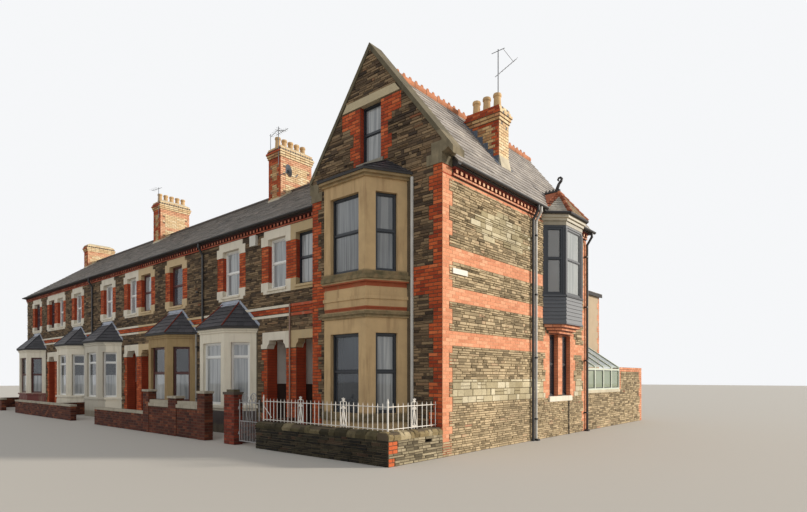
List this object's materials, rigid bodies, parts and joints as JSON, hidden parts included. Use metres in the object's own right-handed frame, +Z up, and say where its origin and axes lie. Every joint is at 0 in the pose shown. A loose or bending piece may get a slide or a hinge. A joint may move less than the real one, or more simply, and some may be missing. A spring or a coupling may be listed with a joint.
{
  "type": "terraced house row",
  "caption": "Row of mirrored terraced houses ending in a gabled wing with a two-storey bay, a side oriel, twin porches, bay windows, slate roofs, chimneys and an iron gate",
  "frame": {"origin": "Ground level at the street corner of the end house, where its gabled front meets its flank", "axes": "+X runs along the front from the row towards the lane, the fronts face -Y, +Z is up"},
  "size_m": [29.475, 14.205, 10.44],
  "materials": {
    "rubble": "rough",
    "party_masonry": "rough",
    "render": "matte",
    "brick": "matte",
    "bath_stone": "matte",
    "ochre_stone": "matte",
    "painted_stone": "satin",
    "coping_stone": "rough",
    "slate": "satin",
    "ridge_clay": "matte",
    "pot_clay": "matte",
    "timber": "matte",
    "door_paint": "satin",
    "grey_paint": "satin",
    "dark_plastic": "satin",
    "white_plastic": "gloss",
    "red_paint": "satin",
    "window_glass": "gloss",
    "gutter_plastic": "satin",
    "pipe_paint": "satin",
    "white_iron": "satin",
    "dark_iron": "satin",
    "cream_paint": "satin",
    "aerial_metal": "satin"
  },
  "bodies": {
    "building": {"terrace_ground_wall": "rubble", "terrace_upper_wall": "rubble", "wing_gable_wall": "rubble", "flank_wall": "rubble", "rear_wall": "rubble", "party_walls": "party_masonry", "end_party_wall": "render", "floors": "timber", "terrace_roof_front": "slate", "terrace_roof_rear": "slate", "wing_roof_street": "slate", "wing_roof_inner": "slate", "ridge_tiles": "ridge_clay", "gable_coping": "coping_stone", "end_bay_lower": "bath_stone", "end_bay_upper": "bath_stone", "end_bay_roof": "slate", "painted_bays": "painted_stone", "sandstone_bay": "ochre_stone", "row_bay_roofs": "slate", "oriel_body": "grey_paint", "oriel_roof": "slate", "upper_dressings": "painted_stone", "string_course": "painted_stone", "porch_lintels": "painted_stone", "porch_linings": "render", "front_doors": "door_paint", "eaves_dentils": "brick", "gutters": "gutter_plastic", "downpipes": "pipe_paint", "wing_chimney": "brick", "party_chimneys": "brick", "chimney_pots": "pot_clay", "dark_window_frames": "dark_plastic", "white_window_frames": "white_plastic", "red_window_frames": "red_paint", "window_glass": "window_glass", "stone_garden_wall": "rubble", "garden_railing": "white_iron", "gate_hooks": "dark_iron", "brick_garden_walls": "brick", "garden_copings": "painted_stone", "annexe_walls": "render", "annexe_roofs": "slate", "conservatory_frame": "cream_paint", "yard_wall": "rubble", "roof_aerials": "aerial_metal"},
    "gate": {"gate": "dark_iron"}
  },
  "joints": [
    {"name": "gate_hinge", "type": "hinge", "parent": "building", "child": "gate", "pos_m": [-4.918, -1.4875, 0.26], "axis": [0, 0, 1], "range_deg": [0, 90]}
  ]
}
